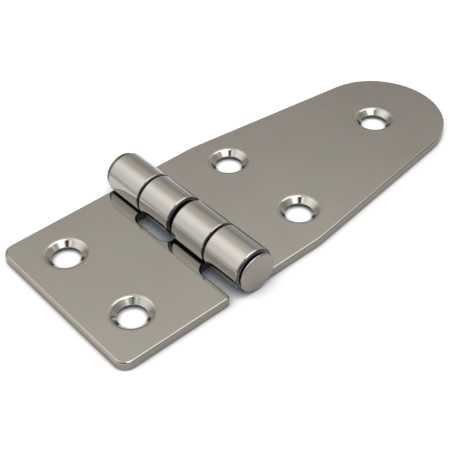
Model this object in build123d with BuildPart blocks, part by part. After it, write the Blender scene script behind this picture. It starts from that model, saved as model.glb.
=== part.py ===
from build123d import *
from math import asin, degrees
import os

# A strap hinge of polished sheet steel, lying open on its back.
# +X runs out along the long leaf, +Y along the pin and +Z up.
# The origin is under the middle of the pin, on the plane of the two backs.

# Sheet and pin
sheet = 2.0
leaf_width = 38.0
pin_diameter = 4.7
pin_clearance = 0.05

# Knuckles: each leaf has one at an end of the barrel and one inside it
end_knuckle = 9.25
end_gap = 0.4
middle_gap = 0.65
long_leaf_shift = 0.19
notch_depth = 5.85
notch_corner = 2.0
open_corner = 1.2
seam_gap = 0.5

# Short leaf, measured from the pin
short_reach = 29.8
short_corner = 3.0
short_hole_reach = 21.0
short_hole_spacing = 20.1

# Long leaf, measured from the pin
long_reach = 67.8
taper_start = 16.8
taper_blend = 4.0
end_radius = 14.3
long_hole_reach = 19.65
long_hole_spacing = 20.5
end_hole_reach = 52.5

# Countersunk screw holes
hole_diameter = 5.5
countersink_diameter = 8.5
countersink_angle = 100

# Heads of the pin
head_diameter = 7.9
near_head_thickness = 0.6
far_head_thickness = 1.1
head_round = 0.3
near_head_gap = 0.2
far_head_gap = 0.1

# The sheet's edges are eased by polishing, more on the side that the die rolled over
edge_ease = 0.3
die_ease = 0.5

# Slack allowed when corners and edges are picked by their position or radius
pick_slack = 0.01

# Sizes that follow from those above
bore_radius = pin_diameter / 2 + pin_clearance
barrel_radius = bore_radius + sheet
half_width = leaf_width / 2
inner_knuckle = half_width - end_knuckle - end_gap - middle_gap / 2
end_notch = end_knuckle + end_gap
inner_notch = leaf_width - end_knuckle - inner_knuckle - end_notch
roll_end_height = sheet + seam_gap
roll_turn = 270 - degrees(asin(roll_end_height / barrel_radius - 1))

# Each leaf has its own frame: x out from the pin, y along it, with the end knuckle at -y
long_side = Plane(origin=(0, long_leaf_shift, 0), x_dir=(1, 0, 0), z_dir=(0, 0, 1))
short_side = Plane(origin=(0, 0, 0), x_dir=(-1, 0, 0), z_dir=(0, 0, 1))


def pin_axis(side):
    """Axis of the pin, pointing so that a positive turn follows the roll of that side's leaf."""
    return Axis((0, 0, barrel_radius), side.y_dir)


def leaf_section(side, reach):
    """Side view of a leaf: flat from its end to under the pin, then rolled round the pin."""
    with BuildSketch(Plane(side.origin, side.x_dir, -side.y_dir)) as section:
        with BuildLine():
            Line((reach, 0), (0, 0))
            outside = CenterArc((0, barrel_radius), barrel_radius, -90, -roll_turn)
            inside = CenterArc((0, barrel_radius), bore_radius, -90 - roll_turn, roll_turn)
            Line(outside @ 1, inside @ 0)
            Line((0, sheet), (reach, sheet))
            Line((reach, sheet), (reach, 0))
        make_face()
    return section.sketch


def knuckle_gaps():
    """The two notches that the other leaf's knuckles turn in, open behind the barrel."""
    behind = barrel_radius + sheet
    length = behind + notch_depth
    middle = (notch_depth - behind) / 2
    with BuildSketch() as gaps:
        with Locations((middle, end_knuckle - half_width + inner_notch / 2)):
            Rectangle(length, inner_notch)
        with Locations((middle, half_width - end_notch / 2)):
            Rectangle(length, end_notch)
    return gaps.sketch


def corners_at(outline, distance):
    """Corners of an outline at one distance from the pin, in their order along the pin."""
    corners = outline.vertices().filter_by_position(Axis.X, distance - pick_slack, distance + pick_slack)
    return corners.sort_by(Axis.Y)


def bore_rims(leaf):
    """Ends of the rolled bores, which run on smoothly into the upper edges of the flat part."""
    circles = leaf.edges().filter_by(GeomType.CIRCLE)
    return circles.filter_by(lambda circle: abs(circle.radius - bore_radius) < pick_slack)


def outer_rims(side):
    """Triangles under the pin that ease the outer rims of the knuckles when they are turned round it."""
    knuckle_ends = (
        (-half_width, die_ease),
        (-half_width + end_knuckle, -edge_ease),
        (half_width - end_notch - inner_knuckle, die_ease),
        (half_width - end_notch, -edge_ease),
    )
    with BuildSketch(Plane(side.origin, side.y_dir, side.x_dir)) as rims:
        for end, inward in knuckle_ends:
            with BuildLine():
                Polyline((end, 0), (end + inward, 0), (end, abs(inward)), close=True)
            make_face()
    return rims.sketch


# Short leaf: a rectangle with two rounded corners at its free end
with BuildPart() as short_leaf:
    extrude(leaf_section(short_side, short_reach), amount=half_width, both=True)
    with BuildSketch(short_side) as short_outline:
        with Locations(((short_reach - 2 * barrel_radius) / 2, 0)):
            Rectangle(short_reach + 2 * barrel_radius, leaf_width)
        fillet(short_outline.vertices().group_by(Axis.X)[-1], short_corner)
        add(knuckle_gaps(), mode=Mode.SUBTRACT)
        fillet(corners_at(short_outline, notch_depth)[:-1], notch_corner)
        fillet(corners_at(short_outline, notch_depth)[-1], open_corner)
    extrude(amount=2 * barrel_radius, mode=Mode.INTERSECT)
    with Locations(short_side.offset(sheet)):
        with Locations((short_hole_reach, 0)):
            with GridLocations(0, short_hole_spacing, 1, 2):
                CounterSinkHole(hole_diameter / 2, countersink_diameter / 2, sheet, countersink_angle)
    chamfer(bore_rims(short_leaf), edge_ease)
    revolve(outer_rims(short_side), pin_axis(short_side), roll_turn, mode=Mode.SUBTRACT)

# Long leaf: parallel sides, then a taper that runs on into a round end
with BuildPart() as long_leaf:
    extrude(leaf_section(long_side, long_reach), amount=half_width, both=True)
    with BuildSketch(long_side) as long_outline:
        with Locations(((taper_start - 2 * barrel_radius) / 2, 0)):
            Rectangle(taper_start + 2 * barrel_radius, leaf_width)
        with Locations((long_reach - end_radius, 0)):
            Circle(end_radius)
        make_hull()
        fillet(corners_at(long_outline, taper_start), taper_blend)
        add(knuckle_gaps(), mode=Mode.SUBTRACT)
        fillet(corners_at(long_outline, notch_depth)[:-1], notch_corner)
        fillet(corners_at(long_outline, notch_depth)[-1], open_corner)
    extrude(amount=2 * barrel_radius, mode=Mode.INTERSECT)
    with Locations(long_side.offset(sheet)):
        with Locations((long_hole_reach, 0)):
            with GridLocations(0, long_hole_spacing, 1, 2):
                CounterSinkHole(hole_diameter / 2, countersink_diameter / 2, sheet, countersink_angle)
        with Locations((end_hole_reach, 0)):
            CounterSinkHole(hole_diameter / 2, countersink_diameter / 2, sheet, countersink_angle)
    chamfer(bore_rims(long_leaf), edge_ease)
    revolve(outer_rims(long_side), pin_axis(long_side), roll_turn, mode=Mode.SUBTRACT)

# Hinge pin: a shank through all four knuckles, with a flat round head at each end
near_face = long_leaf_shift - half_width - near_head_gap
far_face = half_width + far_head_gap
with BuildPart() as hinge_pin:
    with BuildSketch(Plane.YZ) as half_pin:
        with BuildLine():
            Polyline(
                (near_face - near_head_thickness, barrel_radius),
                (near_face - near_head_thickness, barrel_radius + head_diameter / 2),
                (near_face, barrel_radius + head_diameter / 2),
                (near_face, barrel_radius + pin_diameter / 2),
                (far_face, barrel_radius + pin_diameter / 2),
                (far_face, barrel_radius + head_diameter / 2),
                (far_face + far_head_thickness, barrel_radius + head_diameter / 2),
                (far_face + far_head_thickness, barrel_radius),
                close=True,
            )
        make_face()
    revolve(axis=pin_axis(long_side))
    head_rims = hinge_pin.edges().filter_by(GeomType.CIRCLE).sort_by(Axis.Y)
    fillet([head_rims[0], head_rims[-1]], head_round)

short_leaf.part.label = "short_leaf"
long_leaf.part.label = "long_leaf"
hinge_pin.part.label = "hinge_pin"

os.makedirs("parts", exist_ok=True)
export_step(short_leaf.part, "parts/short_leaf.step")
export_step(long_leaf.part, "parts/long_leaf.step")
export_step(hinge_pin.part, "parts/hinge_pin.step")
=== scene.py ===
# %% [markdown]
# This is a strap hinge of mirror-polished stainless steel, lying open on its back. Its two leaves were
# cut from sheet, and the tongues on their inner edges were rolled round a pin with a head at each end.
# The solids are loaded first, because every piece of this scene takes its place from them.

import math

import bpy
import numpy as np
from mathutils import Matrix
from mathutils.geometry import delaunay_2d_cdt


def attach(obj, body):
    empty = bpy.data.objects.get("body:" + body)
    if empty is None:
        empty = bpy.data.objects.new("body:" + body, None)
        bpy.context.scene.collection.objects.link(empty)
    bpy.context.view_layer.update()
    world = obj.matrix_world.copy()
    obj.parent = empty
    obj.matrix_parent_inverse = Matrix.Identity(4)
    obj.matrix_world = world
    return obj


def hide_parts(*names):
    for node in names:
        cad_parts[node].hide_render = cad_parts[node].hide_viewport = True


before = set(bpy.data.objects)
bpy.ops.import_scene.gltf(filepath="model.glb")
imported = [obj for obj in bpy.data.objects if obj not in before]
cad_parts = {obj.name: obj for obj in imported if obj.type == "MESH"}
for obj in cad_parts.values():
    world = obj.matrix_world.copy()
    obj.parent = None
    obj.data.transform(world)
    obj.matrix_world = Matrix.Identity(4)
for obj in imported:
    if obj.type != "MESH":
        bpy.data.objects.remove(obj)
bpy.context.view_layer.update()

# %% [markdown]
# A maker's drawing of a hinge has few sizes: the sheet, the bore, the width, the knuckles and the gaps
# between them. Everything else follows, so only those are written as numbers. They are in millimetres
# here, and become metres when a mesh is made. Each leaf is drawn in its own frame: s runs out from the
# pin, y runs along the pin, and w goes up from the back. A tongue's length is taken along the middle of
# the sheet, because that is the line that neither stretches nor shrinks when the tongue is rolled.

# %% Sizes of the hinge
MM = 0.001
SHEET = 2.0
BORE = 2.4
WIDTH = 38.0
END_KNUCKLE = 9.25
END_GAP = 0.4
MIDDLE_GAP = 0.65
SEAM = 0.5
NOTCH_DEPTH = 5.85
LONG_SHIFT = 0.19
HALF = WIDTH / 2
BARREL = BORE + SHEET
NEUTRAL = BARREL - SHEET / 2
ROLL_TURN = 270 - math.degrees(math.asin((SHEET + SEAM) / BARREL - 1))
ROLL_LENGTH = math.radians(ROLL_TURN) * NEUTRAL
INNER_HIGH = HALF - END_KNUCKLE - END_GAP
INNER_KNUCKLE = INNER_HIGH - MIDDLE_GAP / 2
END_TONGUE = (-HALF, END_KNUCKLE - HALF)
INNER_TONGUE = (INNER_HIGH - INNER_KNUCKLE, INNER_HIGH)
print("tongues at", END_TONGUE, "and", INNER_TONGUE, "with a rolled length of", ROLL_LENGTH)

# %% [markdown]
# Polished metal has no sharp corner anywhere, and each rounded edge draws a thin line of light. A Bevel
# modifier could round the edges, but a mirror shows every error in the way that its faces point. So one
# function rounds the corners of a flat line, and also gives the exact direction that the surface faces
# at each point. It serves for the leaves' outlines, for the sides of the sheet and for the pin.


# %% Lines with rounded corners
def unit(v):
    """Each row divided by its length."""
    return v / np.linalg.norm(v, axis=-1, keepdims=True)


def rounded(corners, closed=False):
    """Points and outward directions of a line whose corners, (x, y, radius, steps), are arcs.

    An arc of radius r that turns by the angle a starts r * tan(a / 2) before its corner. Its points are
    centre + r * (sin h, -cos h), where the heading h goes from the heading before the corner to the one
    after it. The outward side is on the right of the line.
    """
    places = np.array([corner[:2] for corner in corners], float)
    last = len(corners) - 1
    points, outward = [], []
    for i, (_, _, radius, steps) in enumerate(corners):
        come = unit(places[i] - places[i - 1]) if closed or i else unit(places[1] - places[0])
        go = unit(places[(i + 1) % (last + 1)] - places[i]) if closed or i < last else come
        turn = math.atan2(come[0] * go[1] - come[1] * go[0], come @ go)
        bend = radius * np.sign(turn)
        start = places[i] - come * radius * math.tan(abs(turn) / 2)
        heading = math.atan2(come[1], come[0]) + turn * np.linspace(0, 1, steps + 1 if radius else 1)
        side = np.stack([np.sin(heading), -np.cos(heading)], 1)
        centre = start - side[0] * bend
        points.append(centre + side * bend)
        outward.append(side)
    return np.concatenate(points), np.concatenate(outward)


example = rounded([(0, 0, 0, 0), (2, 0, 1, 2), (2, 2, 0, 0)])[0]
print("a square corner of radius 1 in two steps", example.round(2).tolist())

# %% [markdown]
# On the real hinge a tongue is a strip of the flat sheet that a die bent round the pin. The same bend is
# done here: the whole leaf is drawn flat, and whatever is behind the pin, where s is below 0, is turned
# round it. A tongue drawn as a tube would need a join to the flat part, which this way never has.


# %% Rolling the flat sheet
def roll(place, facing, turned):
    """Bends flat positions (s, y, w) and their directions round the pin.

    Behind the pin the angle is -s / neutral radius, and a point at height w keeps the distance
    barrel radius - w from the pin's axis. Directions along s grow by neutral / (barrel - w). The short
    leaf is then turned half round, and the long leaf is shifted along the pin.
    """
    s, y, w = place.T
    angle = np.maximum(-s, 0) / NEUTRAL
    arm = BARREL - w
    moved = np.stack([np.maximum(s, 0) - arm * np.sin(angle), y, BARREL - arm * np.cos(angle)], 1)
    stretch = np.where(s < 0, NEUTRAL / arm, 1.0)
    along = np.stack([np.cos(angle), 0 * s, -np.sin(angle)], 1) * (facing[:, :1] * stretch[:, None])
    across = np.stack([0 * s, np.ones_like(s), 0 * s], 1) * facing[:, 1:2]
    up = np.stack([np.sin(angle), 0 * s, np.cos(angle)], 1) * facing[:, 2:]
    faced = unit(along + across + up)
    if turned:
        moved[:, :2] *= -1
        faced[:, :2] *= -1
    else:
        moved[:, 1] += LONG_SHIFT
    return moved, faced


tongue_end = roll(np.array([[-ROLL_LENGTH, 0.0, 0.0]]), np.array([[-1.0, 0.0, 0.0]]), False)[0]
print("a tongue turns by", ROLL_TURN, "degrees and its outside ends at", tongue_end.round(3).tolist())

# %% [markdown]
# A flat strip bends smoothly only if it has many lines of points across it. The stations are where those
# lines cross a tongue, and the leaf's outline gets a point wherever it passes one.

# %% Stations of the roll
STATION_COUNT = 80
STATIONS = -np.linspace(0, ROLL_LENGTH, STATION_COUNT + 1)[:-1]
STRAIGHT = 1e-9
APART = 1e-4


def with_stations(points, outward):
    """Adds points on the straight runs along s wherever they cross one of the stations.

    A new point has the station's s and the run's y. It is sorted in after the run's first point, in the
    order in which the run passes the stations.
    """
    after = np.roll(points, -1, 0)
    straight = np.abs(after[:, 1] - points[:, 1]) < STRAIGHT
    low = np.minimum(points[:, 0], after[:, 0])[:, None] + APART
    high = np.maximum(points[:, 0], after[:, 0])[:, None] - APART
    run, station = np.nonzero(straight[:, None] & (STATIONS > low) & (STATIONS < high))
    ahead = np.sign(after[run, 0] - points[run, 0]) * STATIONS[station]
    new = np.stack([STATIONS[station], points[run, 1]], 1)
    along = np.concatenate([np.full(len(points), -np.inf), ahead])
    order = np.lexsort((along, np.concatenate([np.arange(len(points)), run])))
    return np.concatenate([points, new])[order], np.concatenate([outward, outward[run]])[order]


print("stations every", ROLL_LENGTH / STATION_COUNT, "mm")

# %% [markdown]
# The side of the sheet is square when it is cut, and polishing rounds it, a little more on the face than
# on the back. It is drawn as a profile from the back up to the face, and later carried round the leaf.
# Four other profiles stand for places where the edge is rounder or sharper. They all have the same
# number of points, so that one can turn into another along the way.

# %% Profiles of the sheet's side
BACK_ROUND = 0.3
FACE_ROUND = 0.4
ROLLED_ROUND = 0.85
PLAIN_SIDE_ROUND = 0.5
SHARP_ROUND = 0.12
WORN_ROUND = 0.6
BACK_STEPS = 12
FACE_STEPS = 6
MARGIN = 0.1


def edge_profile(back_round=BACK_ROUND, face_round=FACE_ROUND):
    """The side of the sheet with an arc below and above. It starts and ends a margin further in."""
    return rounded(
        [
            (-back_round - MARGIN, 0, 0, 0),
            (0, 0, back_round, BACK_STEPS),
            (0, SHEET, face_round, FACE_STEPS),
            (-face_round - MARGIN, SHEET, 0, 0),
        ]
    )


EDGE = edge_profile()
OTHER_EDGES = {
    "rolled": edge_profile(back_round=ROLLED_ROUND),
    "plain side": edge_profile(back_round=PLAIN_SIDE_ROUND),
    "sharp": edge_profile(back_round=SHARP_ROUND),
    "worn": edge_profile(face_round=WORN_ROUND),
}
print("profile of the side", len(EDGE[0]), "points, and", len(OTHER_EDGES), "others like it")

# %% [markdown]
# A countersink is a cone that lets a screw's head lie flush. Its lip is the brightest line on the whole
# hinge, because polishing turned the sharp rim into a soft one that faces every way in turn. The drill
# also left a small flare at the back. The profile is measured from the straight wall of the hole.

# %% Profile of a countersunk hole
HOLE = 2.75
SINK = 4.0
SINK_ANGLE = 100
SINK_START = SHEET - (SINK - HOLE) / math.tan(math.radians(SINK_ANGLE / 2))
LIP = SINK + 0.40
LIP_ROUND = 1.05
FLARE = 0.42
FLARE_ROUND = 0.1
FLARE_MARGIN = 0.2
CONE_ROUND = 0.08
BORE_STEPS = 4
COUNTERSINK = rounded(
    [
        (-FLARE - FLARE_MARGIN, 0, 0, 0),
        (-FLARE, 0, FLARE_ROUND, BORE_STEPS),
        (0, SINK_START, CONE_ROUND, 4),
        (HOLE - SINK, SHEET, LIP_ROUND, 10),
        (HOLE - LIP, SHEET, 0, 0),
    ]
)
print("the cone starts at a height of", SINK_START, "and its profile has", len(COUNTERSINK[0]), "points")

# %% [markdown]
# Every edge is now a profile carried along a line: the sheet's side along the leaf's outline, and the
# countersink round a circle. That is what Blender's curve bevel does too, but here the directions stay
# exact, and the profile can change on its way.

# %% Carrying a profile along a line
RING_STEPS = 120


def ring(centre, radius):
    """A circle walked clockwise, so that its outward side is towards its centre."""
    angle = -np.arange(RING_STEPS) * 2 * math.pi / RING_STEPS
    side = -np.stack([np.cos(angle), np.sin(angle)], 1)
    return np.asarray(centre, float) - side * radius, side


def carry(profile, line, others=()):
    """The grid of a profile carried round a closed line: flat position and direction of each point.

    A point is the line's point, plus its outward direction times the profile's first number, at the
    height of the profile's second. Where the share of another profile grows from 0 to 1 along the
    line, the profile turns into that one.
    """
    points, outward = line[0][:, None], line[1][:, None]
    size = (len(points), len(profile[0]))
    shape = np.broadcast_to(profile[0], size + (2,))
    for other, share in others:
        shape = shape + share[:, None, None] * (other[0] - profile[0])
    face = np.broadcast_to(profile[1], size + (2,))
    place = np.concatenate([points + outward * shape[..., :1], shape[..., 1:]], 2)
    facing = np.concatenate([outward * face[..., :1], face[..., 1:]], 2)
    return place, facing


def grid_faces(first, rows, columns):
    """Four-cornered faces of a grid that is closed along its rows."""
    i, j = np.meshgrid(np.arange(rows), np.arange(columns - 1), indexing="ij")
    here = i * columns + j
    ahead = (i + 1) % rows * columns + j
    return first + np.stack([here, ahead, ahead + 1, here + 1], -1).reshape(-1, 4)


print("a hole's wall has", len(grid_faces(0, RING_STEPS, len(COUNTERSINK[0]))), "faces")

# %% [markdown]
# The broad faces lie between those edges. They are flat before the roll, so a flat triangulation can
# fill them. It keeps the edges of every loop, and one line across each tongue at every station, which
# are the lines that the tongue bends at.


# %% Filling the broad faces
def fill(loops, bars, holes, clear):
    """Triangles between closed loops of (index, flat point).

    The triangulation also fills the holes, so a triangle is left out where its middle is nearer to the
    middle of a hole than clear. The bars are pairs of points that stay joined by an edge.
    """
    index = np.concatenate([ids for ids, _ in loops])
    flat = np.concatenate([points for _, points in loops])
    starts = np.cumsum([0] + [len(ids) for ids, _ in loops[:-1]])
    edges = [
        np.stack([start + np.arange(len(ids)), start + (np.arange(len(ids)) + 1) % len(ids)], 1)
        for start, (ids, _) in zip(starts, loops)
    ]
    constraints = np.concatenate(edges + [bars]).tolist()
    inside_only = 1
    nearness = 1e-7
    _, _, found, origins, _, _ = delaunay_2d_cdt(flat.tolist(), constraints, [], inside_only, nearness)
    triangles = np.array([ids[0] for ids in origins])[np.array(found)]
    middle = flat[triangles].mean(1)
    outside = np.all([np.hypot(*(middle - hole).T) > clear for hole in np.array(holes)], 0)
    return index[triangles[outside]]


square = np.array([(-9.0, -9.0), (9.0, -9.0), (9.0, 9.0), (-9.0, 9.0)])
round_hole = ring((0, 0), SINK)[0]
both_loops = [(np.arange(4), square), (4 + np.arange(RING_STEPS), round_hole)]
no_bars = np.zeros((0, 2), int)
print("a square round a hole takes", len(fill(both_loops, no_bars, [(0, 0)], SINK)), "triangles")

# %% [markdown]
# A mesh is made from whole arrays at once, which is quick and keeps the points in a known order. It
# takes the worked-out directions as its normals, so that a mirror on it shows no facets. Each face also
# gets the number of its material.


# %% Making a mesh
def make_piece(name, points, normals, groups):
    """A piece from points in mm, a direction for each point, and groups of faces with their material."""
    mesh = bpy.data.meshes.new(name)
    faces = [face for group, _ in groups for face in group.tolist()]
    mesh.from_pydata((points * MM).tolist(), [], faces)
    mesh.polygons.foreach_set("use_smooth", np.ones(len(mesh.polygons), bool))
    slots = np.concatenate([np.broadcast_to(slot, len(group)) for group, slot in groups])
    mesh.polygons.foreach_set("material_index", slots.astype(np.int32))
    mesh.normals_split_custom_set_from_vertices(normals.tolist())
    mesh.validate()
    piece = bpy.data.objects.new(name, mesh)
    bpy.context.scene.collection.objects.link(piece)
    print(name, len(mesh.vertices), "points,", len(mesh.polygons), "faces")
    return piece


# %% [markdown]
# Both leaves have the same inner edge: an end tongue, an inner tongue, and two notches in which the
# other leaf's tongues turn. Only the free end differs, so one function adds the eight corners of the
# inner edge to whatever corners the free end has. The short leaf's end tongue was rolled a little
# further, which leaves a narrower seam.

# %% Outline of a leaf
NOTCH_CORNER = 2.0
OPEN_CORNER = 0.9
TONGUE_CORNER = 0.7
CORNER_STEPS = 10
FURTHER_ROLL = 0.2


def leaf_outline(free_end, turned):
    """The closed flat line round a leaf, with its stations: free end, open notch, tongues and notch."""
    end_low, end_high = END_TONGUE
    inner_low, inner_high = INNER_TONGUE
    end_length = ROLL_LENGTH + (FURTHER_ROLL if turned else 0.0)
    inner_edge = (
        (NOTCH_DEPTH, HALF, OPEN_CORNER),
        (NOTCH_DEPTH, inner_high, NOTCH_CORNER),
        (-ROLL_LENGTH, inner_high, TONGUE_CORNER),
        (-ROLL_LENGTH, inner_low, TONGUE_CORNER),
        (NOTCH_DEPTH, inner_low, NOTCH_CORNER),
        (NOTCH_DEPTH, end_high, NOTCH_CORNER),
        (-end_length, end_high, TONGUE_CORNER),
        (-end_length, end_low, TONGUE_CORNER),
    )
    corners = list(free_end) + [(*corner, CORNER_STEPS) for corner in inner_edge]
    return with_stations(*rounded(corners, closed=True))


def station_lines(outline):
    """Pairs of points of an outline, on the two sides of a tongue and at the same s behind the pin."""
    s, y = outline[0].T
    same = 1e-6
    pairs = []
    for sides in (END_TONGUE, INNER_TONGUE):
        low, high = (np.nonzero((np.abs(y - side) < same) & (s <= same))[0] for side in sides)
        a, b = np.nonzero(np.abs(s[low][:, None] - s[high]) < same)
        pairs.append(np.stack([low[a], high[b]], 1))
    return np.concatenate(pairs)


plain_end = [(30, -HALF, 0, 0), (30, HALF, 0, 0)]
print("a leaf with a square end has", len(leaf_outline(plain_end, False)[0]), "points round it")

# %% [markdown]
# The edge isn't the same all round. On one side of each knuckle the die drew the rim over into a wide
# curve, more on the long leaf than on the short one, and on the other side the rim is only eased. At
# the far end of the barrel, on the short leaf, it stayed sharp. The free ends are handled most, so
# their upper edge is worn. Four shares from 0 to 1 at each point of the outline say how far the profile
# has turned into each of the others, so that no edge changes with a step.

# %% Where the edge differs
RISE_FROM = 0.5
RISE = 2.5
FALL = 1.5
ALL_OF_IT = 0.99
DRAWN_ON_SHORT = 0.35
WORN_FROM = 0.55
WORN_OVER = 0.4


def smooth(t):
    """Goes from 0 to 1 as t does, level at both ends: 3 t^2 - 2 t^3."""
    t = np.clip(t, 0, 1)
    return t * t * (3 - 2 * t)


def tongue_side(s, facing):
    """1 on the sides of the rolled tongues that face fully that way, with a smooth rise and fall.

    It rises behind the pin, from RISE_FROM over the length RISE, and falls over the length FALL before
    the rounded corner at the tongue's end.
    """
    rise = smooth((-s - RISE_FROM) / RISE)
    fall = smooth((s + ROLL_LENGTH - TONGUE_CORNER) / FALL)
    return np.where(facing > ALL_OF_IT, rise * fall, 0.0)


def edge_shares(outline, turned):
    """The share of each of the other edges at each point of an outline.

    The rolled and the sharp ones are on the tongues' sides that face down the pin, the plain ones on
    the sides that face up it, and the worn one wherever the outline faces away from the pin.
    """
    (s, y), (out_s, out_y) = outline[0].T, outline[1].T
    low_side = tongue_side(s, -out_y)
    outermost = y < -HALF + 0.01
    if turned:
        drawn_over = np.where(outermost, 0.0, DRAWN_ON_SHORT)
        kept_sharp = 1.0 * outermost
    else:
        drawn_over = 1.0
        kept_sharp = 0.0
    return {
        "rolled": low_side * drawn_over,
        "plain side": tongue_side(s, out_y),
        "sharp": low_side * kept_sharp,
        "worn": smooth((out_s - WORN_FROM) / WORN_OVER) * (s > NOTCH_DEPTH + 1),
    }


print("at a tenth, a half and nine tenths of a change its share is", smooth([0.1, 0.5, 0.9]).round(3))

# %% [markdown]
# Three finishes of steel show on a leaf: the mirror polish of the faces, the duller cut side of the
# sheet and the worn edge. A fourth, dark steel is painted shade on the rims in the gaps and at the ends
# of the notches. Each face of the edge gets one of them from its row, which says where on the outline
# it is, and from its column, counted from the back up. So a steel ends on a line of the mesh and needs
# no picture painted on it.

# %% Which steel shows where
POLISHED, CUT, PAINTED_SHADE, WORN = range(4)
PAINTED_SHADE_FROM = 5
SIDE_COLUMN = 1 + BACK_STEPS
CUT_TO = SIDE_COLUMN + 2
NOTCH_TO = SIDE_COLUMN + 4
WORN_TO = SIDE_COLUMN + FACE_STEPS
BORE_COLUMN = 1 + BORE_STEPS
GAP_START = -0.5
WORN_SHOWS = 0.1
DRAWN_SHOWS = 0.5


def within(column, low, high):
    """True from the column low to the column high, both included."""
    return (column >= low) & (column <= high)


def edge_steel(outline, shares):
    """The steel of each face of the carried edge.

    The side of the sheet and two columns above it are cut steel. Where the worn share shows, the whole
    upper rounding is worn steel. Painted shade, a dark steel, goes on the sides of the tongues behind
    the pin, on the rims that were drawn over, and on the ends of the notches with the start of their
    upper rounding, where shade falls.
    """
    (s, _), (out_s, _) = outline[0].T, outline[1].T
    columns = len(EDGE[0]) - 1
    row, column = np.divmod(np.arange(len(s) * columns), columns)
    steel = np.where(within(column, SIDE_COLUMN, CUT_TO), CUT, POLISHED)
    worn_edge = within(column, SIDE_COLUMN + 1, WORN_TO) & (shares["worn"][row] > WORN_SHOWS)
    steel[worn_edge] = WORN
    # Painted shade: these rims and notch ends get the dark steel where shade falls in the gaps.
    shade_in_gap = within(column, PAINTED_SHADE_FROM, SIDE_COLUMN) & (s[row] < GAP_START)
    shaded_drawn_rim = within(column, PAINTED_SHADE_FROM, SIDE_COLUMN - 1) & (shares["rolled"][row] > DRAWN_SHOWS)
    notch_end = (out_s < -0.5) & (s > NOTCH_DEPTH - 1)
    shaded_notch_rim = within(column, SIDE_COLUMN, NOTCH_TO) & notch_end[row]
    steel[shade_in_gap | shaded_drawn_rim | shaded_notch_rim] = PAINTED_SHADE
    return steel


def countersink_steel():
    """The steel of each face of a carried countersink: worn on its straight wall."""
    column = np.arange(RING_STEPS * (len(COUNTERSINK[0]) - 1)) % (len(COUNTERSINK[0]) - 1)
    return np.where(column == BORE_COLUMN, WORN, POLISHED)


print("the cut side is column", SIDE_COLUMN, "of", len(EDGE[0]) - 1)

# %% [markdown]
# A leaf is all of this together: the edge and the countersinks are carried along their lines, the back
# and the face are filled between them, and only then is the flat result rolled round the pin. The
# fillings use the carried edges' own points, so a leaf is one piece, as the real one is one sheet.

# %% Making a leaf
BACK_CLEAR = HOLE + FLARE + 0.1
FACE_CLEAR = SINK + 0.3


def make_leaf(name, free_end, holes, turned):
    """A rolled leaf from the corners of its free end and the middles of its holes."""
    outline = leaf_outline(free_end, turned)
    shares = edge_shares(outline, turned)
    others = [(OTHER_EDGES[kind], share) for kind, share in shares.items()]
    strips = [(carry(EDGE, outline, others), edge_steel(outline, shares))]
    strips += [(carry(COUNTERSINK, ring(hole, HOLE)), countersink_steel()) for hole in holes]
    places, facings, faces, backs, fronts = [], [], [], [], []
    first = 0
    for (place, facing), steel in strips:
        rows, columns = place.shape[:2]
        ids = first + np.arange(rows * columns).reshape(rows, columns)
        faces.append((grid_faces(first, rows, columns), steel))
        backs.append((ids[:, 0], place[:, 0, :2]))
        fronts.append((ids[:, -1], place[:, -1, :2]))
        places.append(place.reshape(-1, 3))
        facings.append(facing.reshape(-1, 3))
        first += rows * columns
    bars = station_lines(outline)
    faces.append((fill(backs, bars, holes, BACK_CLEAR)[:, ::-1], POLISHED))
    faces.append((fill(fronts, bars, holes, FACE_CLEAR), POLISHED))
    points, normals = roll(np.concatenate(places), np.concatenate(facings), turned)
    return make_piece(name, points, normals, faces)


# %% [markdown]
# The short leaf is a rectangle with two rounded corners and two screw holes. It is drawn in the same
# frame as the long leaf and then turned half round, so that their tongues come to lie side by side on
# the pin. It stands for the solid of the same name, and rides on the body that swings.

# %% The short leaf
SHORT_REACH = 29.8
SHORT_CORNER = 2.5
SHORT_HOLE_REACH = 21.0
SHORT_HOLE_SPACING = 20.1
short_leaf = make_leaf(
    "short_leaf_polished",
    [(SHORT_REACH, side * HALF, SHORT_CORNER, 16) for side in (-1, 1)],
    [(SHORT_HOLE_REACH, side * SHORT_HOLE_SPACING / 2) for side in (-1, 1)],
    turned=True,
)
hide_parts("short_leaf")
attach(short_leaf, "short_leaf")

# %% [markdown]
# The long leaf has parallel sides, then a taper to a round end. The end is one large arc in the corner
# where both tapered sides would meet, and a smaller arc softens the bend where the taper starts. The
# angle of the taper follows, because each tapered side has to touch the circle of the end.

# %% The long leaf
LONG_REACH = 67.8
END_RADIUS = 14.3
TAPER_START = 16.8
TAPER_BEND = 14.0
LONG_HOLE_REACH = 19.65
LONG_HOLE_SPACING = 20.5
END_HOLE_REACH = 52.5
run = LONG_REACH - END_RADIUS - TAPER_START
taper = math.atan2(HALF, run) - math.asin(END_RADIUS / math.hypot(run, HALF))
apex = TAPER_START + HALF / math.tan(taper)
print("the sides taper by", math.degrees(taper), "degrees and would meet at", apex)
long_leaf = make_leaf(
    "long_leaf_polished",
    [
        (TAPER_START, -HALF, TAPER_BEND, 12),
        (apex, 0, END_RADIUS, 96),
        (TAPER_START, HALF, TAPER_BEND, 12),
    ],
    [
        (LONG_HOLE_REACH, -LONG_HOLE_SPACING / 2),
        (LONG_HOLE_REACH, LONG_HOLE_SPACING / 2),
        (END_HOLE_REACH, 0),
    ],
    turned=False,
)
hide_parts("long_leaf")
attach(long_leaf, "long_leaf")
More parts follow.
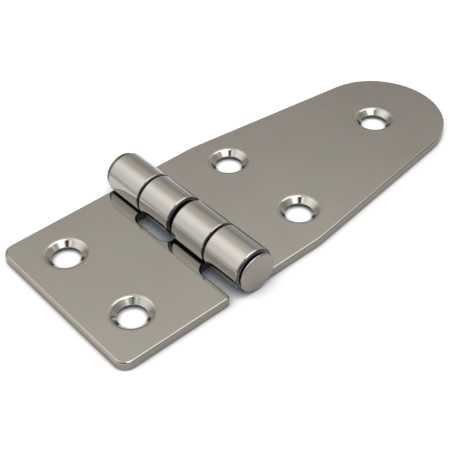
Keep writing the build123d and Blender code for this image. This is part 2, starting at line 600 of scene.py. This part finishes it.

# %% [markdown]
# The pin is turned on a lathe: a shank with a flat round head at each end. So it is a profile too, spun
# round the pin's axis. The near head is thin and keeps a crisp back rim, and its rim gets the brighter
# sheet steel as a painted highlight. The far head is thicker, and only a dark rim of it is seen, so that
# rim gets a darker steel, which is painted shade. Each rim is given as its first and last column of the
# profile, counted from the far end. A flat face closes each end.

# %% The pin
PIN = 2.35
HEAD = 3.95
HEAD_MIDDLE = 2.0
NEAR_HEAD = 0.35
FAR_HEAD = 1.1
NEAR_GAP = 0.45
FAR_GAP = 0.1
NEAR_FACE = LONG_SHIFT - HALF - NEAR_GAP
FAR_FACE = HALF + FAR_GAP
PIN_LINE, PIN_OUT = rounded(
    [
        (FAR_FACE + FAR_HEAD, HEAD_MIDDLE, 0, 0),
        (FAR_FACE + FAR_HEAD, HEAD, 0.3, 6),
        (FAR_FACE, HEAD, 0.1, 3),
        (FAR_FACE, PIN, 0.1, 3),
        (NEAR_FACE, PIN, 0.1, 3),
        (NEAR_FACE, HEAD, 0.04, 3),
        (NEAR_FACE - NEAR_HEAD, HEAD, 0.2, 6),
        (NEAR_FACE - NEAR_HEAD, HEAD_MIDDLE, 0, 0),
    ]
)
TURN_STEPS = 144
TURNED, FAR_PAINTED_SHADE, NEAR_PAINTED_HIGHLIGHT = range(3)
FAR_RIM = (1, 10)
NEAR_RIM = (20, 25)


def spun(line, angle):
    """A line of (along the pin, away from it) spun round the pin's axis by each of the angles."""
    around = np.stack([np.sin(angle), 0 * angle, np.cos(angle)], 1)[:, None]
    return around * line[None, :, 1:] + np.array([0, 1.0, 0]) * line[None, :, :1]


turn_angle = -np.arange(TURN_STEPS) * 2 * math.pi / TURN_STEPS
pin_columns = len(PIN_LINE)
pin_column = np.arange(TURN_STEPS * (pin_columns - 1)) % (pin_columns - 1)
# The far head's rim gets painted shade, and the near head's rim the brighter sheet steel as a painted
# highlight.
pin_slot = FAR_PAINTED_SHADE * within(pin_column, *FAR_RIM) + NEAR_PAINTED_HIGHLIGHT * within(pin_column, *NEAR_RIM)
far_cap = np.arange(TURN_STEPS)[None] * pin_columns
near_cap = far_cap + pin_columns - 1
hinge_pin = make_piece(
    "hinge_pin_polished",
    (spun(PIN_LINE, turn_angle) + np.array([0, 0, BARREL])).reshape(-1, 3),
    spun(PIN_OUT, turn_angle).reshape(-1, 3),
    [
        (grid_faces(0, TURN_STEPS, pin_columns), pin_slot),
        (far_cap[:, ::-1], TURNED),
        (near_cap, TURNED),
    ],
)
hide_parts("hinge_pin")
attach(hinge_pin, "long_leaf")

# %% [markdown]
# A material is a tree of nodes. A few short functions make the kinds that the steel, the floor and the
# light all need, so that the cells after this one read as what is on the surface, and not as wiring.


# %% Helpers for nodes
def node_of(tree, kind, place, **values):
    """A new node with its properties, and the values of its sockets with _ for a space, set by name."""
    node = tree.nodes.new(kind)
    node.location = place
    for name, value in values.items():
        if hasattr(node, name):
            setattr(node, name, value)
        else:
            node.inputs[name.replace("_", " ")].default_value = value
    return node


def noise(tree, place, coordinates, **values):
    """A noise from 0 to 1 on the given coordinates."""
    node = node_of(tree, "ShaderNodeTexNoise", place, **values)
    tree.links.new(coordinates, node.inputs["Vector"])
    return node.outputs["Fac"]


def mapped(tree, place, number, **values):
    """A number carried from one range to another, and held at the ends of it."""
    node = node_of(tree, "ShaderNodeMapRange", place, **values)
    tree.links.new(number, node.inputs["Value"])
    return node.outputs["Result"]


def coloured(tree, place, number, *stops):
    """The colour at a number between two stops, each of them a position and a colour."""
    node = node_of(tree, "ShaderNodeValToRGB", place)
    for stop, (position, colour) in zip(node.color_ramp.elements, stops):
        stop.position = position
        stop.color = (*colour, 1)
    tree.links.new(number, node.inputs["Fac"])
    return node.outputs["Color"]


def combined(tree, place, operation, first, second):
    """Two colours added or multiplied, or one scaled by a number."""
    node = node_of(tree, "ShaderNodeVectorMath", place, operation=operation)
    tree.links.new(first, node.inputs[0])
    tree.links.new(second, node.inputs["Scale" if operation == "SCALE" else 1])
    return node.outputs["Vector"]


print("helpers for noises, ranges, colours and sums")

# %% [markdown]
# Polished stainless steel is a slightly warm grey mirror, and three things keep it from being a perfect
# one. The sheet isn't quite flat, so a slow bump bends its reflections. The polish left a faint haze, so
# its roughness varies. And fingers left smudges, stains and small scuffs, so its colour varies a little.
# All of it is noise on the object's own coordinates, which stays in place when a leaf swings.


# %% The steel
def make_steel(name, tint, shade, haze, wave):
    """Mirror steel with its colour between shade and tint, its roughness within haze, and its bump wave.

    The colour is the smudge's colour, times the stain's faint hue, times the scuffs' dimming.
    """
    steel = bpy.data.materials.new(name)
    steel.use_nodes = True
    tree = steel.node_tree
    shader = tree.nodes["Principled BSDF"]
    shader.inputs["Metallic"].default_value = 1.0
    shader.inputs["Specular Tint"].default_value = (0.80, 0.80, 0.81, 1)
    place = node_of(tree, "ShaderNodeTexCoord", (-1200, 0)).outputs["Object"]
    smudge = noise(tree, (-1000, 200), place, Scale=70.0, Detail=4.0, Roughness=0.6)
    stain = noise(tree, (-1000, 500), place, Scale=330.0, Detail=3.0, Roughness=0.6)
    scuff = noise(tree, (-1000, 800), place, Scale=800.0, Detail=5.0, Roughness=0.7, Distortion=1.2)
    blot = noise(tree, (-1000, -100), place, Scale=260.0, Detail=3.0, Roughness=0.55)
    swell = noise(tree, (-1000, -400), place, Scale=120.0, Detail=1.0, Roughness=0.4)
    smudged = coloured(tree, (-750, 200), smudge, (0.35, shade), (0.65, tint))
    hue = coloured(tree, (-750, 500), stain, (0.38, (1.00, 0.941, 0.974)), (0.62, (0.945, 0.968, 0.937)))
    dimming = mapped(tree, (-750, 800), scuff, From_Min=0.60, From_Max=0.72, To_Min=1.0, To_Max=0.90)
    marks = combined(tree, (-450, 600), "SCALE", hue, dimming)
    colour = combined(tree, (-250, 300), "MULTIPLY", smudged, marks)
    tree.links.new(colour, shader.inputs["Base Color"])
    rough = mapped(tree, (-750, -100), blot, From_Min=0.3, From_Max=0.7, To_Min=haze[0], To_Max=haze[1])
    tree.links.new(rough, shader.inputs["Roughness"])
    bump = node_of(tree, "ShaderNodeBump", (-750, -400), Strength=wave, Distance=0.0005)
    tree.links.new(swell, bump.inputs["Height"])
    tree.links.new(bump.outputs["Normal"], shader.inputs["Normal"])
    return steel


STEELS = {
    "polished_sheet_steel": ((0.43, 0.420, 0.388), (0.41, 0.400, 0.368), (0.03, 0.06), 0.05),
    "cut_edge_steel": ((0.265, 0.248, 0.225), (0.24, 0.225, 0.205), (0.18, 0.28), 0.10),
    "worn_edge_steel": ((0.36, 0.333, 0.305), (0.34, 0.315, 0.288), (0.12, 0.20), 0.08),
    # The next steel is painted shade for the gaps, the drawn-over rims and the notch ends.
    "painted_shade_steel": ((0.115, 0.11, 0.115), (0.09, 0.087, 0.092), (0.30, 0.40), 0.10),
    "turned_pin_steel": ((0.28, 0.258, 0.235), (0.26, 0.24, 0.217), (0.08, 0.14), 0.05),
    # The next steel is painted shade on the far head's rim.
    "painted_shade_far_head_steel": ((0.14, 0.122, 0.105), (0.12, 0.105, 0.09), (0.10, 0.18), 0.05),
}
steels = {name: make_steel(name, *values) for name, values in STEELS.items()}
print("steels", list(steels))

# %% [markdown]
# Between the knuckles thin rings of the pin's shank can be seen, deep in the gaps, where shade falls, so
# they are painted nearly black as shade. The shank and the heads are one turned piece with one steel, so
# the steel itself darkens wherever it is nearer to the middle of the pin than the heads are.

# %% Painted shade on the shank
SHANK_REACH = 0.0191
SHANK_FADE = 0.0001
SHANK_LEFT = 0.1
pin_tree = steels["turned_pin_steel"].node_tree
pin_colour = pin_tree.nodes["Principled BSDF"].inputs["Base Color"]
polished_colour = pin_colour.links[0].from_socket
pin_coordinates = node_of(pin_tree, "ShaderNodeTexCoord", (-1200, 1100)).outputs["Object"]
pin_place = node_of(pin_tree, "ShaderNodeSeparateXYZ", (-1000, 1100))
pin_tree.links.new(pin_coordinates, pin_place.inputs["Vector"])
from_middle = node_of(pin_tree, "ShaderNodeMath", (-750, 1100), operation="ABSOLUTE")
pin_tree.links.new(pin_place.outputs["Y"], from_middle.inputs[0])
# Painted shade: the shank's colour drops to a tenth between the knuckles.
painted_shade_factor = mapped(
    pin_tree,
    (-450, 1100),
    from_middle.outputs["Value"],
    From_Min=SHANK_REACH,
    From_Max=SHANK_REACH + SHANK_FADE,
    To_Min=SHANK_LEFT,
    To_Max=1.0,
)
pin_tree.links.new(combined(pin_tree, (-100, 500), "SCALE", polished_colour, painted_shade_factor), pin_colour)
print("the shank is dark up to", SHANK_REACH, "m from the middle")

# %% [markdown]
# The steels go into each mesh in the order of the numbers that its faces hold. The solids that these
# pieces stand for are hidden, and get a steel too, so that nothing in the file is left bare.

# %% Giving out the steels
LEAF_STEELS = ("polished_sheet_steel", "cut_edge_steel", "painted_shade_steel", "worn_edge_steel")
PIN_STEELS = ("turned_pin_steel", "painted_shade_far_head_steel", "polished_sheet_steel")
for piece, names in ((short_leaf, LEAF_STEELS), (long_leaf, LEAF_STEELS), (hinge_pin, PIN_STEELS)):
    for name in names:
        piece.data.materials.append(steels[name])
for node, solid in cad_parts.items():
    solid.data.materials.clear()
    solid.data.materials.append(steels[PIN_STEELS[0] if node == "hinge_pin" else LEAF_STEELS[0]])
print("steels on a leaf", len(long_leaf.data.materials), "and on the pin", len(hinge_pin.data.materials))

# %% [markdown]
# The hinge lies on white paper on a pale grey table, and its sides and knuckles mirror both. So the
# floor is one wide plate, whose colour fades from the paper's to the table's past the paper's four
# sides. Each side is given as a direction on the floor and the distance at which it lies that way. The
# floor is quite dull, because a shiny one would show the hinge in it.

# %% The floor
FLOOR_HALF = 2.0
FLOOR_DROP = 0.00005
CORNERS = ((-1, -1), (1, -1), (1, 1), (-1, 1))
PAPER_SIDES = (
    ((-0.852, 0.524, 0), 0.036),
    ((0.684, 0.730, 0), 0.092),
    ((0.627, -0.779, 0), 0.050),
    ((-0.670, -0.742, 0), 0.049),
)
PAPER_FADE = 0.030
TABLE_COLOUR = (0.60, 0.615, 0.645, 1)
floor_mesh = bpy.data.meshes.new("floor")
floor_points = [(x * FLOOR_HALF, y * FLOOR_HALF, -FLOOR_DROP) for x, y in CORNERS]
floor_mesh.from_pydata(floor_points, [], [(0, 1, 2, 3)])
floor = bpy.data.objects.new("floor", floor_mesh)
bpy.context.scene.collection.objects.link(floor)
floor_paint = bpy.data.materials.new("pale_floor")
floor_paint.use_nodes = True
floor_mesh.materials.append(floor_paint)
paint = floor_paint.node_tree
floor_shader = paint.nodes["Principled BSDF"]
floor_shader.inputs["Roughness"].default_value = 1.0
floor_shader.inputs["Specular IOR Level"].default_value = 0.0
print("floor", 2 * FLOOR_HALF, "m wide")

# %% [markdown]
# How far a spot of the floor lies past one side of the paper is its distance along that side's
# direction, less the side's own. The largest of the four numbers says how far the spot lies beyond the
# paper, and on the paper it is below 0. Close under the hinge little light gets in, so an Ambient
# Occlusion node, which measures how open a place is, darkens the paper there.


# %% The paper and the table
def past_side(row, spot, across, reach):
    """How far a spot of the floor lies past one side: spot . across - reach."""
    share = node_of(paint, "ShaderNodeVectorMath", (-1300, row), operation="DOT_PRODUCT")
    share.inputs[1].default_value = across
    paint.links.new(spot, share.inputs[0])
    past = node_of(paint, "ShaderNodeMath", (-1100, row), operation="SUBTRACT")
    past.inputs[1].default_value = reach
    paint.links.new(share.outputs["Value"], past.inputs[0])
    return past.outputs["Value"]


def larger(row, first, second):
    """The larger of two numbers."""
    most = node_of(paint, "ShaderNodeMath", (-900, row), operation="MAXIMUM")
    paint.links.new(first, most.inputs[0])
    paint.links.new(second, most.inputs[1])
    return most.outputs["Value"]


floor_place = node_of(paint, "ShaderNodeTexCoord", (-1500, 300)).outputs["Object"]
beyond = past_side(300, floor_place, *PAPER_SIDES[0])
for number, (across, reach) in enumerate(PAPER_SIDES[1:], start=1):
    row = 300 + 200 * number
    beyond = larger(row, beyond, past_side(row, floor_place, across, reach))
fading = {"interpolation_type": "SMOOTHSTEP", "From_Min": 0.0, "From_Max": PAPER_FADE}
off_paper = mapped(paint, (-700, 300), beyond, **fading)
openness = node_of(paint, "ShaderNodeAmbientOcclusion", (-900, 0), samples=16, Distance=0.008)
shadow = (0.20, (0.29, 0.315, 0.345))
white = (0.65, (0.985, 0.985, 1.0))
paper = coloured(paint, (-700, 0), openness.outputs["AO"], shadow, white)
fade = node_of(paint, "ShaderNodeMix", (-350, 200), data_type="RGBA", B=TABLE_COLOUR)
paint.links.new(off_paper, fade.inputs["Factor"])
paint.links.new(paper, fade.inputs["A"])
paint.links.new(fade.outputs["Result"], floor_shader.inputs["Base Color"])
print("nodes of the floor", len(paint.nodes))

# %% [markdown]
# A mirror looks like what is round it, so polished steel is lit by its surroundings and not by lamps.
# They are painted into the world here, as lights that grow smoothly towards one direction each. A lamp
# with an edge would leave its outline in every rounded edge of the hinge, and a gradient leaves none.

# %% The world
world = bpy.data.worlds.new("soft_studio")
bpy.context.scene.world = world
world.use_nodes = True
sky = world.node_tree
direction = node_of(sky, "ShaderNodeTexCoord", (-1400, 0)).outputs["Generated"]


def towards(row, axis, start, end, low=0.0, high=1.0):
    """Goes smoothly from low to high as the direction's share along an axis goes from start to end."""
    share = node_of(sky, "ShaderNodeVectorMath", (-1100, row), operation="DOT_PRODUCT")
    share.inputs[1].default_value = unit(np.asarray(axis, float))
    sky.links.new(direction, share.inputs[0])
    limits = {"From_Min": start, "From_Max": end, "To_Min": low, "To_Max": high}
    return mapped(sky, (-900, row), share.outputs["Value"], interpolation_type="SMOOTHSTEP", **limits)


def plain_light(row, colour):
    """A light of one colour from everywhere."""
    light = node_of(sky, "ShaderNodeVectorMath", (-900, row - 80), operation="ADD")
    light.inputs[0].default_value = colour
    return light.outputs["Vector"]


print("world", world.name)

# %% [markdown]
# Each light is the direction that it lies in, the shares at which it starts and is full, and its colour
# when full. First come the broad ones: a pale room on the far side, a soft light overhead, and those
# that the knuckles and the sides of the leaves mirror. The last four are small bright windows for the
# lips of the countersinks. The two shades take light away instead, down to their last number: a dark
# spot high on the camera's side, which the cones of the countersinks mirror, and a slight dimming that
# the round end of the long leaf mirrors.

# %% The lights
ROOM = (0.06, 0.045, 0.045)
LIGHTS = (
    ((-1.0, 0, 0), 0.70, 1.00, (0.30, 0.32, 0.35)),
    ((0.17, 0.98, 0), -0.50, 0.50, (0.46, 0.44, 0.41)),
    ((0, 0, 1), 0.40, 0.95, (0.56, 0.56, 0.52)),
    ((-0.59, 0.49, 0.64), 0.70, 1.00, (0.72, 0.73, 0.77)),
    ((-0.47, -0.17, 0.87), 0.30, 0.90, (0.20, 0.22, 0.19)),
    ((0.75, -0.50, 0.45), 0.30, 1.00, (0.25, 0.26, 0.24)),
    ((0.82, 0.56, 0.00), 0.900, 1.000, (0.12, 0.15, 0.23)),
    ((-0.82, 0.567, 0.02), 0.93, 1.00, (0.24, 0.23, 0.22)),
    ((0.00, -0.98, 0.20), 0.70, 0.97, (0.36, 0.34, 0.32)),
    ((0.50, -0.25, 0.83), 0.955, 0.985, (1.55, 1.55, 1.60)),
    ((-0.20, -0.75, 0.60), 0.950, 0.985, (1.50, 1.50, 1.55)),
    ((0.03, -0.31, 0.95), 0.925, 0.965, (2.00, 2.00, 2.10)),
    ((-0.53, -0.17, 0.83), 0.990, 0.998, (0.82, 0.82, 0.90)),
)
SHADES = (
    ((-0.38, -0.34, 0.86), 0.990, 0.997, 0.15),
    ((0.72, 0.46, 0.52), 0.978, 1.000, 0.88),
)
light = plain_light(200, ROOM)
for number, (axis, start, end, colour) in enumerate(LIGHTS):
    row = -200 * number
    glow = combined(sky, (-700, row), "SCALE", plain_light(row, colour), towards(row, axis, start, end))
    light = combined(sky, (-500, row), "ADD", light, glow)
for number, (axis, start, end, left) in enumerate(SHADES, start=len(LIGHTS)):
    row = -200 * number
    light = combined(sky, (-500, row), "SCALE", light, towards(row, axis, start, end, 1.0, left))
sky.links.new(light, sky.nodes["Background"].inputs["Color"])
print("nodes of the sky", len(sky.nodes))

# %% [markdown]
# The camera stands where the photograph was taken from. Its place, its turn and its lens were worked out
# from the outlines of the leaves, the holes and the knuckles, because a line that is off by a pixel is
# easy to see beside the photograph. The colours are shown as they are, with no film look over them.

# %% The camera
CAMERA_PLACE = (-83.9413, -109.0508, 125.4826)
CAMERA_RIGHT = (0.75014326, -0.66106249, -0.01677689)
CAMERA_DOWN = (-0.44990349, -0.49160758, -0.74559294)
CAMERA_FORWARD = (0.48463588, 0.56684951, -0.66619044)
camera_data = bpy.data.cameras.new("camera")
camera_data.sensor_fit = "HORIZONTAL"
camera_data.sensor_width = 36.0
camera_data.lens = 77.84
camera_data.clip_start = 0.01
camera_data.clip_end = 20.0
camera = bpy.data.objects.new("camera", camera_data)
bpy.context.scene.collection.objects.link(camera)
stand = np.eye(4)
stand[:3, 0] = CAMERA_RIGHT
stand[:3, 1] = -np.array(CAMERA_DOWN)
stand[:3, 2] = -np.array(CAMERA_FORWARD)
stand[:3, 3] = np.array(CAMERA_PLACE) * MM
camera.matrix_world = Matrix(stand.tolist())
bpy.context.scene.camera = camera
bpy.context.scene.view_settings.view_transform = "Standard"
print("camera", round(float(np.linalg.norm(CAMERA_PLACE))), "mm from the pin, lens", camera_data.lens)
